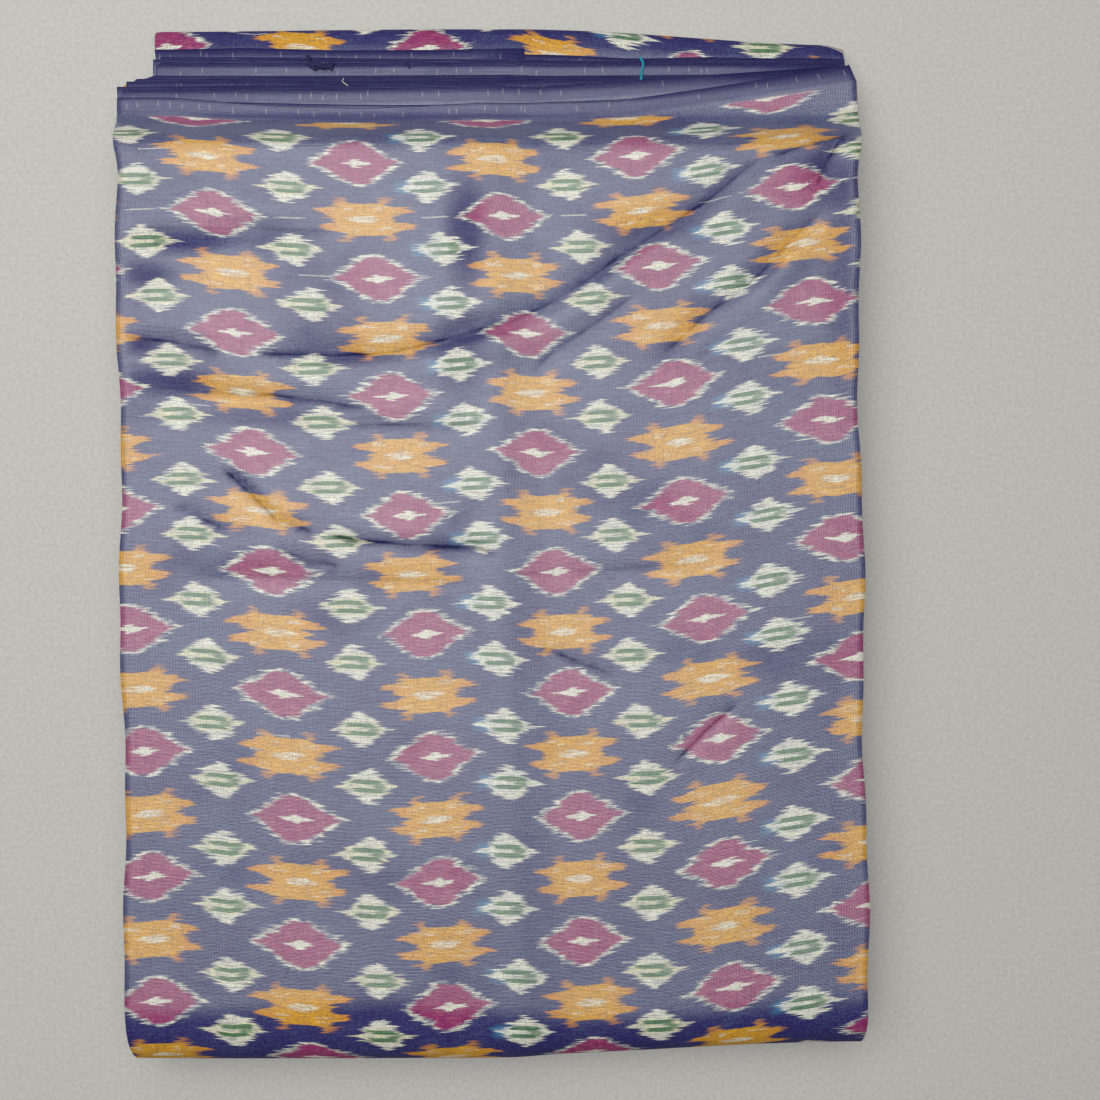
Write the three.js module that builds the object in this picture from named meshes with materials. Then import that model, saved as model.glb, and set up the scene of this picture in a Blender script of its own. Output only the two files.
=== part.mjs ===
// A length of warp ikat cotton, folded into a flat pack.
// The cloth is zigzagged along its warp into a bundle of levels.
// The bundle is then folded in half across the cloth's width, and in half again, which makes four passes.
// X runs along the warp, Y across it, and Z up. The pack lies on Z = 0 with its middle over the origin.
// All sizes are in millimetres.

import * as THREE from "three";
import { mergeVertices } from "three/addons/utils/BufferGeometryUtils.js";

const { lerp, clamp } = THREE.MathUtils;

// Driving sizes of the pack
const packThickness = 21.6;
const topSheetLift = 1.2;
const passCount = 4;
const sheetThickness = 1.35;
const passHeight = (packThickness - topSheetLift) / passCount;

// The left and right folded edges, at the end near the selvedges and at the far end
const edges = {
  left: { nearSelvedge: -103.6, farEnd: -100.4 },
  right: { nearSelvedge: 101.6, farEnd: 105.0 },
  nearSelvedgeY: 120,
  farEndY: -130,
};
const edgeWave = { height: 0.6, length: 92, phaseStep: 2.1 };

// The folded edges fan out towards the selvedges, and draw in again past the top pass's selvedges
const edgeFan = { size: 3.4, fromY: 98, toY: 122 };
const cornerInset = { left: 8.6, right: 2.2, fromY: 129, toY: 134 };

// Where the passes turn back: around the far fold, inside it, and at the fold under the selvedges
const turnPlaces = { far: -136.0, farInner: -135.2, underSelvedges: 143.2 };

// The far fold and the fold under the selvedges draw back towards the corners
const farFoldDrawback = { size: 4.3, fromX: -10, toX: 105 };
const topFoldDrawback = { right: 5.0, left: 1.8, fromX: 10, toX: 105 };

// The warp bends up towards the right corner, and the top pass's selvedges rise with it
const selvedgeRise = { size: 11.6, power: 1.8, fromX: -3, toX: 102 };

// The tucked end of the cloth stops near the middle and leans as the warp does
const tuckedEnd = { x: 4, lean: -0.035, clearBefore: 3, clearAfter: 11 };

// Levels of the bundle, outermost first: heights in level pitches, over the tucked end and beyond it,
// how far out the selvedge lies on the top pass and on the one below, and its share of the rise
const levelPitch = passHeight / 3;
const levels = [
  { height: 1, beyondTuck: 0.85, topSelvedgeY: 122.6, lowerSelvedgeY: 137.6, riseShare: 1 },
  { height: 0, beyondTuck: 0, topSelvedgeY: 127.4, lowerSelvedgeY: 139.8, riseShare: 0.55 },
  { height: -1, beyondTuck: -0.85, topSelvedgeY: 131.2, lowerSelvedgeY: 135.4, riseShare: 0.2 },
];

// Where the stack is pressed thinner under the selvedges, and beyond the tucked end
const selvedgePress = { share: 0.42, fromY: 107, toY: 120 };
const beyondTuckPress = 0.06;

// Main creases of the top sheet: soft troughs between two places
const creases = [
  { name: "long sweep, right", fromX: 84, fromY: 110, toX: 38, toY: 79, depth: 1.1, width: 10 },
  { name: "long sweep, middle", fromX: 38, fromY: 79, toX: -8, toY: 56, depth: 1.2, width: 10 },
  { name: "long sweep, left", fromX: -8, fromY: 56, toX: -66, toY: 50, depth: 1.0, width: 10 },
  { name: "second sweep", fromX: 96, fromY: 94, toX: 48, toY: 50, depth: 0.9, width: 9 },
  { name: "upper left", fromX: -101, fromY: 85, toX: -42, toY: 84, depth: 0.8, width: 9 },
  { name: "middle left", fromX: -92, fromY: 41, toX: -30, toY: 35, depth: 0.7, width: 9 },
  { name: "sharp pleat", fromX: -74, fromY: 20, toX: -36, toY: -1, depth: 1.0, width: 9 },
  { name: "below the pleat", fromX: -36, fromY: -1, toX: 2, toY: -5, depth: 0.8, width: 9 },
];
const swell = { height: 0.25, lengthX: 150, phaseX: 1, lengthY: 118 };

const clothColour = 0x6f7590;

function smoothstep(from, to, value) {
  const share = clamp((value - from) / (to - from), 0, 1);
  return share * share * (3 - 2 * share);
}

function tuckX(y) {
  return tuckedEnd.x + tuckedEnd.lean * y;
}

// 0 over the tucked end, and 1 beyond it, where the bundle is one level short
function beyondTuck(x, y) {
  return smoothstep(tuckX(y) - tuckedEnd.clearBefore, tuckX(y) + tuckedEnd.clearAfter, x);
}

// Places along the warp, for a place y across it and the zigzag's fold with this number
function foldedEdge(side, fold, y) {
  const edge = side < 0 ? edges.left : edges.right;
  const share = clamp((y - edges.farEndY) / (edges.nearSelvedgeY - edges.farEndY), -0.1, 1.1);
  const wave = edgeWave.height * Math.sin((2 * Math.PI * y) / edgeWave.length + fold * edgeWave.phaseStep);
  const fan = edgeFan.size * smoothstep(edgeFan.fromY, edgeFan.toY, y);
  const insetSize = side < 0 ? cornerInset.left : cornerInset.right;
  const inset = insetSize * smoothstep(cornerInset.fromY, cornerInset.toY, y);
  return lerp(edge.farEnd, edge.nearSelvedge, share) + wave + side * (fan - inset);
}

const leftFold = { number: 0, side: -1, inset: 0.3, radius: levelPitch / 2 };
const rightFold = { number: 1, side: 1, inset: 0.3, radius: levelPitch };
const lastEdge = { number: 2, side: -1, inset: 1.8, radius: 0 };

function foldStart(fold) {
  return (y) => {
    const reach = fold.radius + sheetThickness / 2 + fold.inset;
    return foldedEdge(fold.side, fold.number, y) - fold.side * reach;
  };
}

const tuckStart = (y) => tuckX(y) - tuckedEnd.clearBefore;
const tuckClear = (y) => tuckX(y) + tuckedEnd.clearAfter;

// Runs of the zigzag along the warp, in order: each goes through its places in straight cells,
// and turns there into the next run. Topness is 1 on the level that lies outermost.
const warpRuns = [
  {
    level: levels[1],
    topness: 0,
    from: tuckX,
    spans: [{ to: foldStart(leftFold), cells: 3 }],
    turn: { side: leftFold.side, cells: 4 },
  },
  {
    level: levels[0],
    topness: 1,
    from: foldStart(leftFold),
    spans: [
      { to: tuckStart, cells: 6 },
      { to: tuckClear, cells: 2 },
      { to: foldStart(rightFold), cells: 6 },
    ],
    turn: { side: rightFold.side, cells: 5 },
  },
  {
    level: levels[2],
    topness: 0,
    from: foldStart(rightFold),
    spans: [
      { to: tuckClear, cells: 3 },
      { to: tuckStart, cells: 2 },
      { to: foldStart(lastEdge), cells: 3 },
    ],
  },
];

// Places across the width, for a point of the bundle
function farTurn(turnY) {
  return (section) => {
    return turnY + farFoldDrawback.size * smoothstep(farFoldDrawback.fromX, farFoldDrawback.toX, section.x);
  };
}

function topTurn(section) {
  const back = topFoldDrawback;
  const right = back.right * smoothstep(back.fromX, back.toX, section.x);
  const left = back.left * smoothstep(back.fromX, back.toX, -section.x);
  return turnPlaces.underSelvedges - right - left;
}

function rise(x) {
  const share = Math.max((x - selvedgeRise.fromX) / (selvedgeRise.toX - selvedgeRise.fromX), 0);
  return selvedgeRise.size * Math.pow(share, selvedgeRise.power);
}

const topSelvedge = (section) => section.topSelvedgeY + section.riseShare * rise(section.x);
const lowerSelvedge = (section) => section.lowerSelvedgeY;
const pressStart = () => selvedgePress.fromY;
const pressEnd = () => selvedgePress.toY;
const insetStart = () => cornerInset.fromY;
const insetEnd = () => cornerInset.toY;
const outerTurn = farTurn(turnPlaces.far);
const innerTurn = farTurn(turnPlaces.farInner);

// Passes across the width, in order, from the selvedge under the top pass to the selvedge of the top pass
const widthRuns = [
  {
    height: 2.5 * passHeight,
    topness: 0,
    from: lowerSelvedge,
    spans: [
      { to: insetEnd, cells: 1 },
      { to: insetStart, cells: 1 },
      { to: pressEnd, cells: 1 },
      { to: pressStart, cells: 3 },
      { to: innerTurn, cells: 5 },
    ],
    turn: { side: -1, cells: 5, stretch: 1 },
  },
  {
    height: 1.5 * passHeight,
    topness: 0,
    from: innerTurn,
    spans: [
      { to: pressStart, cells: 5 },
      { to: pressEnd, cells: 3 },
      { to: insetStart, cells: 1 },
      { to: insetEnd, cells: 1 },
      { to: topTurn, cells: 1 },
    ],
    turn: { side: 1, cells: 5, stretch: 1 },
  },
  {
    height: 0.5 * passHeight,
    topness: 0,
    from: topTurn,
    spans: [
      { to: insetEnd, cells: 1 },
      { to: insetStart, cells: 1 },
      { to: pressEnd, cells: 1 },
      { to: pressStart, cells: 3 },
      { to: outerTurn, cells: 5 },
    ],
    turn: { side: -1, cells: 7, stretch: 1.1 },
  },
  {
    height: 3.5 * passHeight,
    topness: 1,
    from: outerTurn,
    spans: [
      { to: pressStart, cells: 14 },
      { to: pressEnd, cells: 3 },
      { to: topSelvedge, cells: 1 },
    ],
  },
];

// The steps along a folded line: each is a share of a span between two places, or a share of a turn
function steps(runs) {
  const list = [];
  runs.forEach((run, runIndex) => {
    run.spans.forEach((span, spanIndex) => {
      const from = spanIndex === 0 ? run.from : run.spans[spanIndex - 1].to;
      const firstCell = list.length === 0 ? 0 : 1;
      for (let cell = firstCell; cell <= span.cells; cell += 1) {
        list.push({ run, from, to: span.to, share: cell / span.cells });
      }
    });
    for (let cell = 1; run.turn && cell <= run.turn.cells; cell += 1) {
      const to = run.spans[run.spans.length - 1].to;
      list.push({ run, next: runs[runIndex + 1], to, turn: run.turn, share: cell / run.turn.cells });
    }
  });
  return list;
}

function levelHeight(level, x, y) {
  return levelPitch * lerp(level.height, level.beyondTuck, beyondTuck(x, y));
}

// A point of the bundle's section: x along the warp, and h out from the bundle's middle.
// Side is 1 on the cloth's outer face and -1 on its inner face.
function bundlePoint(step, side, y) {
  const { run, next, share } = step;
  const halfSheet = (side * sheetThickness) / 2;
  if (!step.turn) {
    const x = lerp(step.from(y), step.to(y), share);
    const heading = Math.sign(step.to(y) - step.from(y));
    const { topSelvedgeY, lowerSelvedgeY, riseShare } = run.level;
    const h = levelHeight(run.level, x, y) + heading * halfSheet;
    return { x, h, topness: run.topness, topSelvedgeY, lowerSelvedgeY, riseShare };
  }
  const turnX = step.to(y);
  const from = levelHeight(run.level, turnX, y);
  const to = levelHeight(next.level, turnX, y);
  const angle = Math.PI * share;
  const radius = Math.abs(from - to) / 2;
  const outward = Math.sign(from - to);
  return {
    x: turnX + (step.turn.side * radius + outward * halfSheet) * Math.sin(angle),
    h: (from + to) / 2 + ((from - to) / 2 + step.turn.side * halfSheet) * Math.cos(angle),
    topness: lerp(run.topness, next.topness, share),
    topSelvedgeY: lerp(run.level.topSelvedgeY, next.level.topSelvedgeY, share),
    lowerSelvedgeY: lerp(run.level.lowerSelvedgeY, next.level.lowerSelvedgeY, share),
    riseShare: lerp(run.level.riseShare, next.level.riseShare, share),
  };
}

// The folded place of a point of the bundle: y across the pack and z up
function foldedPlace(step, section) {
  const { run, next, share } = step;
  if (!step.turn) {
    const heading = Math.sign(step.to(section) - step.from(section));
    const y = lerp(step.from(section), step.to(section), share);
    return { y, z: run.height + heading * section.h, topness: run.topness };
  }
  const angle = Math.PI * share;
  const radius = Math.abs(run.height - next.height) / 2;
  const outward = Math.sign(run.height - next.height);
  const reach = step.turn.side * radius + outward * section.h;
  const middle = (run.height + next.height) / 2;
  return {
    y: step.to(section) + step.turn.stretch * reach * Math.sin(angle),
    z: middle + ((run.height - next.height) / 2 + step.turn.side * section.h) * Math.cos(angle),
    topness: lerp(run.topness, next.topness, share),
  };
}

function creaseDepth(x, y) {
  const place = new THREE.Vector2(x, y);
  const depths = creases.map((crease) => {
    const start = new THREE.Vector2(crease.fromX, crease.fromY);
    const run = new THREE.Vector2(crease.toX, crease.toY).sub(start);
    const share = clamp(place.clone().sub(start).dot(run) / run.lengthSq(), 0, 1);
    const away = place.distanceTo(start.addScaledVector(run, share)) / crease.width;
    return crease.depth * Math.exp(-away * away);
  });
  return Math.max(...depths);
}

// The top sheet lies a little above the rest and dips into its creases,
// and the whole stack is pressed where it is thin
function settledHeight(x, y, z, topness) {
  const waveX = Math.sin((2 * Math.PI * x) / swell.lengthX + swell.phaseX);
  const waveY = Math.sin((2 * Math.PI * y) / swell.lengthY);
  const wave = swell.height * waveX * waveY;
  const lift = Math.max(topSheetLift - swell.height + wave - creaseDepth(x, y), 0);
  const pressed = 1 - selvedgePress.share * smoothstep(selvedgePress.fromY, selvedgePress.toY, y);
  const thinned = 1 - beyondTuckPress * beyondTuck(x, y);
  return (z + topness * lift) * pressed * thinned;
}

function clothPoint(warpStep, widthStep, side) {
  const roughSection = bundlePoint(warpStep, side, 0);
  const roughY = foldedPlace(widthStep, roughSection).y;
  const section = bundlePoint(warpStep, side, roughY);
  const place = foldedPlace(widthStep, section);
  const topness = section.topness * place.topness;
  return new THREE.Vector3(section.x, place.y, settledHeight(section.x, place.y, place.z, topness));
}

// The sheet is a flat box with a cell for each step of both foldings.
// Its points are moved to their folded places.
function foldedCloth() {
  const warpSteps = steps(warpRuns);
  const widthSteps = steps(widthRuns);
  const warpCells = warpSteps.length - 1;
  const widthCells = widthSteps.length - 1;
  const box = new THREE.BoxGeometry(1, 1, 1, warpCells, widthCells, 1);
  box.deleteAttribute("normal");
  box.deleteAttribute("uv");
  const sheet = mergeVertices(box);
  const position = sheet.getAttribute("position");
  for (let index = 0; index < position.count; index += 1) {
    const warpStep = warpSteps[Math.round((position.getX(index) + 0.5) * warpCells)];
    const widthStep = widthSteps[Math.round((position.getY(index) + 0.5) * widthCells)];
    const point = clothPoint(warpStep, widthStep, Math.sign(position.getZ(index)));
    position.setXYZ(index, point.x, point.y, point.z);
  }
  sheet.computeBoundingBox();
  const middle = sheet.boundingBox.getCenter(new THREE.Vector3());
  sheet.translate(-middle.x, -middle.y, -sheet.boundingBox.min.z);
  sheet.computeVertexNormals();
  return sheet;
}

const material = new THREE.MeshStandardMaterial({ color: clothColour, roughness: 0.8, metalness: 0 });
const cloth = new THREE.Mesh(foldedCloth(), material);
cloth.name = "ikat_cloth";

const group = new THREE.Group();
group.add(cloth);

export default group;
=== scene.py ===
import math

import bpy
import numpy as np
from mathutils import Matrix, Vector
from mathutils.bvhtree import BVHTree


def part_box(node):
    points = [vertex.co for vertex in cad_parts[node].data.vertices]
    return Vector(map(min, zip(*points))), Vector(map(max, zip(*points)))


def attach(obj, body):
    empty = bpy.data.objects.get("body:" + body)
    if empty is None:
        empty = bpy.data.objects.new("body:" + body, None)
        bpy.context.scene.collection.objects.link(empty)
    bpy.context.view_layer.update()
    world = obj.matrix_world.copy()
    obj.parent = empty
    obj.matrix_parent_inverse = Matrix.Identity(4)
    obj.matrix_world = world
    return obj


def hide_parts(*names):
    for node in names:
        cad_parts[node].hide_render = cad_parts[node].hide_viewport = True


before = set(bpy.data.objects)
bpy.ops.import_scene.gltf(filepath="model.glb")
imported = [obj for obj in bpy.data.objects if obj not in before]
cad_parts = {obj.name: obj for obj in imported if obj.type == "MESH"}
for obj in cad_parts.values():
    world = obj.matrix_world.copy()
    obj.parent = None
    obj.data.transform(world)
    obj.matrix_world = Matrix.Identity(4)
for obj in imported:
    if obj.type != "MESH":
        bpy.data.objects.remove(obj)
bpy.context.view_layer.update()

# A length of warp ikat cotton, folded into a flat pack. The cloth is zigzagged along its warp into a
# bundle of levels, and the bundle is folded in half across the cloth's width, and in half again.
# X runs along the warp, Y across it and Z up. Sizes are in millimetres until a mesh is made.
MM = 0.001

SHEET = 0.3
PASS_HEIGHT = 5.1
LEVEL_COUNT = 12
LEVEL_PITCH = PASS_HEIGHT / LEVEL_COUNT
TOP_SHEET_LIFT = 2.1
SWELL_ROOM = 0.34

# Left and right folded edges: near the selvedges, at the far end, and how they fan out at the selvedges
EDGES = {"left": (-103.6, -100.4), "right": (101.6, 105.0)}
NEAR_Y = 120.0
FAR_Y = -130.0
FAN = {"size": 3.4, "from": 98.0, "to": 122.0}
CORNER_INSET = {"left": 9.4, "right": 2.2, "from": 129.6, "to": 132.6}

FAR_FOLD_DRAWBACK = {"size": 4.3, "from": -10.0, "to": 105.0}
TOP_FOLD_DRAWBACK = {"right": 4.6, "left": 0.8, "from": 10.0, "to": 104.0, "rounding": 2.6}
FAR_TURN_OUTER_Y = -136.0
FAR_TURN_INNER_Y = -135.2
TOP_TURN_Y = 143.2

# The tucked end of the cloth: it stops near the middle, and the levels close up beyond it
TUCK_X = 4.0
TUCK_LEAN = -0.035
CUT_END_SHIFT = 10.0
TUCK_BEFORE = 3.0
TUCK_AFTER = 11.0
BEYOND_TUCK_PRESS = 0.06
MIDDLE_RIDGE = {"height": 0.35, "width": 4.0}

# How the stack thins under the selvedges, at the places that all passes share
PRESS_PLACES = (107.6, 110.7, 113.8, 116.9, 120.0)
PRESS_SHARES = (0.0, 0.066, 0.21, 0.354, 0.42)


def smooth(start, end, value):
    share = np.clip((value - start) / (end - start), 0.0, 1.0)
    return share * share * (3.0 - 2.0 * share)


def mixed(a, b, share):
    return a + (b - a) * share


def tuck_x(y, shift=CUT_END_SHIFT):
    return TUCK_X + TUCK_LEAN * y + shift * smooth(124.0, 136.0, y)


def beyond_tuck(x, y):
    return np.clip((x - tuck_x(y) + TUCK_BEFORE) / (TUCK_BEFORE + TUCK_AFTER), 0.0, 1.0)


def folded_edge(side, number, y):
    near, far = EDGES["left" if side < 0 else "right"]
    share = np.clip((y - FAR_Y) / (NEAR_Y - FAR_Y), -0.1, 1.1)
    long_wave = 0.6 * np.sin(2 * np.pi * y / 92.0 + number * 2.1)
    short_wave = 0.25 * np.sin(2 * np.pi * y / 31.0 + number * 3.7)
    fan = FAN["size"] * smooth(FAN["from"], FAN["to"], y)
    cut_in = smooth(CORNER_INSET["from"], CORNER_INSET["to"], y)
    inset = CORNER_INSET["left" if side < 0 else "right"] * cut_in
    return mixed(far, near, share) + (long_wave + short_wave) + side * (fan - inset)


# Each fold of the zigzag: side, inset from the pack's edge, and where the selvedge crosses it
# on the top pass and on the pass below
FOLDS = [
    {"side": -1, "inset": 0.3, "top_selvedge": 124.4, "lower_selvedge": 140.9},
    {"side": 1, "inset": 0.2, "top_selvedge": 134.3, "lower_selvedge": 138.4},
    {"side": -1, "inset": 1.5, "top_selvedge": 127.3, "lower_selvedge": 138.6},
    {"side": 1, "inset": 1.2, "top_selvedge": 133.2, "lower_selvedge": 137.4},
    {"side": -1, "inset": 0.7, "top_selvedge": 128.3, "lower_selvedge": 137.6},
    {"side": 1, "inset": 2.1, "top_selvedge": 132.6, "lower_selvedge": 136.1},
    {"side": -1, "inset": 2.2, "top_selvedge": 130.0, "lower_selvedge": 136.6},
    {"side": 1, "inset": 0.6, "top_selvedge": 132.0, "lower_selvedge": 136.4},
    {"side": -1, "inset": 1.0, "top_selvedge": 131.0, "lower_selvedge": 135.9},
    {"side": 1, "inset": 1.6, "top_selvedge": 132.6, "lower_selvedge": 135.5},
    {"side": -1, "inset": 1.8, "top_selvedge": 132.2, "lower_selvedge": 135.3},
]
CUT_SELVEDGES = (123.0, 141.4)
LAST_EDGE = {"side": 1, "inset": 2.6, "top_selvedge": 133.0, "lower_selvedge": 135.9}

# The top sheet's selvedge, across the pack
TOP_SELVEDGE = {
    "x": (-106.0, -90.0, -72.0, -57.0, -36.0, -19.0, -3.0, 10.0, 25.0, 40.0, 60.0, 80.0, 95.0, 104.0),
    "y": (124.4, 124.3, 123.0, 122.0, 121.7, 121.9, 122.8, 123.1, 123.7, 124.8, 127.2, 130.4, 133.0, 134.3),
}

# Order of the levels along the cloth, from the tucked end, and each level's droop of its selvedge
LEVEL_ORDER = (1, 0, 2, 3, 4, 5, 6, 7, 8, 9, 10, 11)
SELVEDGE_DROOP = (0.0, 0.6, 2.4, 0.9, 1.6, 0.4, 1.2, 0.7, 1.0, 0.3, 0.8, 0.2)


def level_heights(level):
    half = (LEVEL_COUNT - 1) / 2
    over_tuck = (half - level) * LEVEL_PITCH
    if level == 0:
        return over_tuck, over_tuck
    beyond = (half - (level - 1) * (LEVEL_COUNT - 1) / (LEVEL_COUNT - 2)) * LEVEL_PITCH
    return over_tuck, beyond


def level_height(level, x, y):
    over_tuck, beyond = level_heights(level)
    return mixed(over_tuck, beyond, beyond_tuck(x, y))


def fold_place(number):
    fold = FOLDS[number] if number < len(FOLDS) else LAST_EDGE
    reach = LEVEL_PITCH * 0.55 + SHEET / 2 + fold["inset"]
    if number == 1:
        reach = LEVEL_PITCH + SHEET / 2 + fold["inset"]
    return lambda y: folded_edge(fold["side"], number, y) - fold["side"] * reach


def warp_steps(shift=CUT_END_SHIFT):
    """Steps along the warp: straight ones between two places, and turns at the folds."""
    before = lambda y: tuck_x(y, shift) - TUCK_BEFORE
    clear = lambda y: tuck_x(y, shift) + TUCK_AFTER
    steps = []
    for order, level in enumerate(LEVEL_ORDER):
        start = tuck_x if order == 0 else fold_place(order - 1)
        end = fold_place(order)
        heading = -1 if order % 2 == 0 else 1
        if order == 0:
            places, cells = [start, end], [4]
        elif level == 0:
            places, cells = [start, before, clear, end], [54, 9, 52]
        else:
            places = [start, before, clear, end] if heading > 0 else [start, clear, before, end]
            cells = [2, 2, 2]
        run = {"order": order, "level": level, "heading": heading, "start": start, "end": end}
        for span, count in enumerate(cells):
            for cell in range(0 if not steps else 1, count + 1):
                share = cell / count
                steps.append({"run": run, "from": places[span], "to": places[span + 1], "share": share})
        if order < len(LEVEL_ORDER) - 1:
            turns = 3
            for cell in range(1, turns + 1):
                steps.append({"run": run, "turn": cell / turns, "next": LEVEL_ORDER[order + 1]})
    return steps


def selvedges(run, x, y, share):
    """Where the selvedge lies on the top pass and on the pass below, for places on a straight run."""
    order = run["order"]
    start = {"top_selvedge": CUT_SELVEDGES[0], "lower_selvedge": CUT_SELVEDGES[1]}
    if order > 0:
        start = FOLDS[order - 1]
    end = FOLDS[order] if order < len(FOLDS) else LAST_EDGE
    droop = SELVEDGE_DROOP[run["level"]] * np.sin(np.pi * share)
    ripple = 0.35 * np.sin(x / 15.0 + order * 1.9) + 0.22 * np.sin(x / 6.1 + order * 4.3)
    ripple = ripple * np.sin(np.pi * share) ** 0.5
    top = mixed(start["top_selvedge"], end["top_selvedge"], share) - droop + ripple
    if run["level"] == 0:
        top = np.interp(x, TOP_SELVEDGE["x"], TOP_SELVEDGE["y"]) + 0.6 * ripple
    lower = mixed(start["lower_selvedge"], end["lower_selvedge"], share) - 0.3 * droop + ripple
    return top, lower


def bundle(steps, side, y):
    """The bundle's section for each warp step (rows), at places y across the pack."""
    x = np.zeros_like(y)
    h = np.zeros_like(y)
    topness = np.zeros_like(y)
    top = np.zeros_like(y)
    lower = np.zeros_like(y)
    half = side * SHEET / 2
    for row, step in enumerate(steps):
        run, here = step["run"], y[row]
        if "turn" not in step:
            x[row] = mixed(step["from"](here), step["to"](here), step["share"])
            h[row] = level_height(run["level"], x[row], here) + run["heading"] * half
            begin, finish = run["start"](here), run["end"](here)
            share = np.clip((x[row] - begin) / (finish - begin), 0.0, 1.0)
            topness[row] = 1.0 if run["level"] == 0 else 0.0
            top[row], lower[row] = selvedges(run, x[row], here, share)
            continue
        turn_x = run["end"](here)
        level_from = level_height(run["level"], turn_x, here)
        level_to = level_height(step["next"], turn_x, here)
        angle = math.pi * step["turn"]
        fold = FOLDS[run["order"]]
        radius = np.abs(level_from - level_to) / 2
        outward = np.sign(level_from - level_to)
        x[row] = turn_x + (fold["side"] * radius + outward * half) * math.sin(angle)
        half_step = (level_from - level_to) / 2
        h[row] = (level_from + level_to) / 2 + (half_step + fold["side"] * half) * math.cos(angle)
        ends = [1.0 if level == 0 else 0.0 for level in (run["level"], step["next"])]
        topness[row] = mixed(ends[0], ends[1], step["turn"])
        top[row], lower[row] = fold["top_selvedge"], fold["lower_selvedge"]
    return {"x": x, "h": h, "topness": topness, "top": top, "lower": lower}


def far_turn(turn_y):
    back = FAR_FOLD_DRAWBACK
    return lambda part: turn_y + back["size"] * smooth(back["from"], back["to"], part["x"])


def top_turn(part):
    back = TOP_FOLD_DRAWBACK
    right = back["right"] * smooth(back["from"], back["to"], part["x"])
    left = back["left"] * smooth(back["from"], back["to"], -part["x"])
    rounding = back["rounding"] * np.clip((part["x"] - back["to"] + 9.0) / 9.0, 0.0, 1.2) ** 2
    return TOP_TURN_Y - right - left - rounding


def width_steps():
    """Steps across the width, from the selvedge under the top pass to the selvedge of the top pass."""
    outer, inner = far_turn(FAR_TURN_OUTER_Y), far_turn(FAR_TURN_INNER_Y)
    press_start = lambda part: PRESS_PLACES[0]
    press_end = lambda part: PRESS_PLACES[-1]
    inset_start = lambda part: CORNER_INSET["from"]
    inset_end = lambda part: CORNER_INSET["to"]
    lower = lambda part: part["lower"]
    top = lambda part: part["top"]
    passes = [
        {"height": 2.5, "places": [lower, inset_end, inset_start, press_end, press_start, inner],
         "cells": [2, 2, 1, 4, 3], "turns": 6},
        {"height": 1.5, "places": [inner, press_start, press_end, inset_start, inset_end, top_turn],
         "cells": [3, 4, 1, 2, 2], "turns": 8},
        {"height": 0.5, "places": [top_turn, inset_end, inset_start, press_end, press_start, outer],
         "cells": [1, 2, 1, 4, 3], "turns": 12},
        {"height": 3.5, "places": [outer, press_start, press_end, top], "cells": [132, 12, 3], "turns": 0},
    ]
    sides = (-1, 1, -1)
    steps = []
    for number, one in enumerate(passes):
        for span, count in enumerate(one["cells"]):
            for cell in range(0 if not steps else 1, count + 1):
                share = cell / count
                steps.append(
                    {"pass": number, "height": one["height"] * PASS_HEIGHT, "from": one["places"][span],
                     "to": one["places"][span + 1], "share": share}
                )
        for cell in range(1, one["turns"] + 1):
            steps.append(
                {"pass": number, "height": one["height"] * PASS_HEIGHT,
                 "next": passes[number + 1]["height"] * PASS_HEIGHT, "to": one["places"][-1],
                 "turn": cell / one["turns"], "side": sides[number], "stretch": 1.1 if number == 2 else 1.0}
            )
    return steps


def folded(steps, section):
    """Place across the pack, height and topness, for each width step (columns)."""
    y = np.zeros_like(section["x"])
    z = np.zeros_like(y)
    topness = np.zeros_like(y)
    for column, step in enumerate(steps):
        part = {name: values[:, column] for name, values in section.items()}
        if "turn" not in step:
            start, end = step["from"](part), step["to"](part)
            heading = np.sign(end - start)
            y[:, column] = mixed(start, end, step["share"])
            z[:, column] = step["height"] + heading * part["h"]
            topness[:, column] = 1.0 if step["pass"] == 3 else 0.0
            continue
        angle = math.pi * step["turn"]
        half_gap = (step["height"] - step["next"]) / 2
        reach = step["side"] * abs(half_gap) + np.sign(half_gap) * part["h"]
        y[:, column] = step["to"](part) + step["stretch"] * reach * math.sin(angle)
        middle = (step["height"] + step["next"]) / 2
        z[:, column] = middle + (half_gap + step["side"] * part["h"]) * math.cos(angle)
        topness[:, column] = step["turn"] if step["pass"] == 2 else 0.0
    return y, z, topness * section["topness"]


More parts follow.
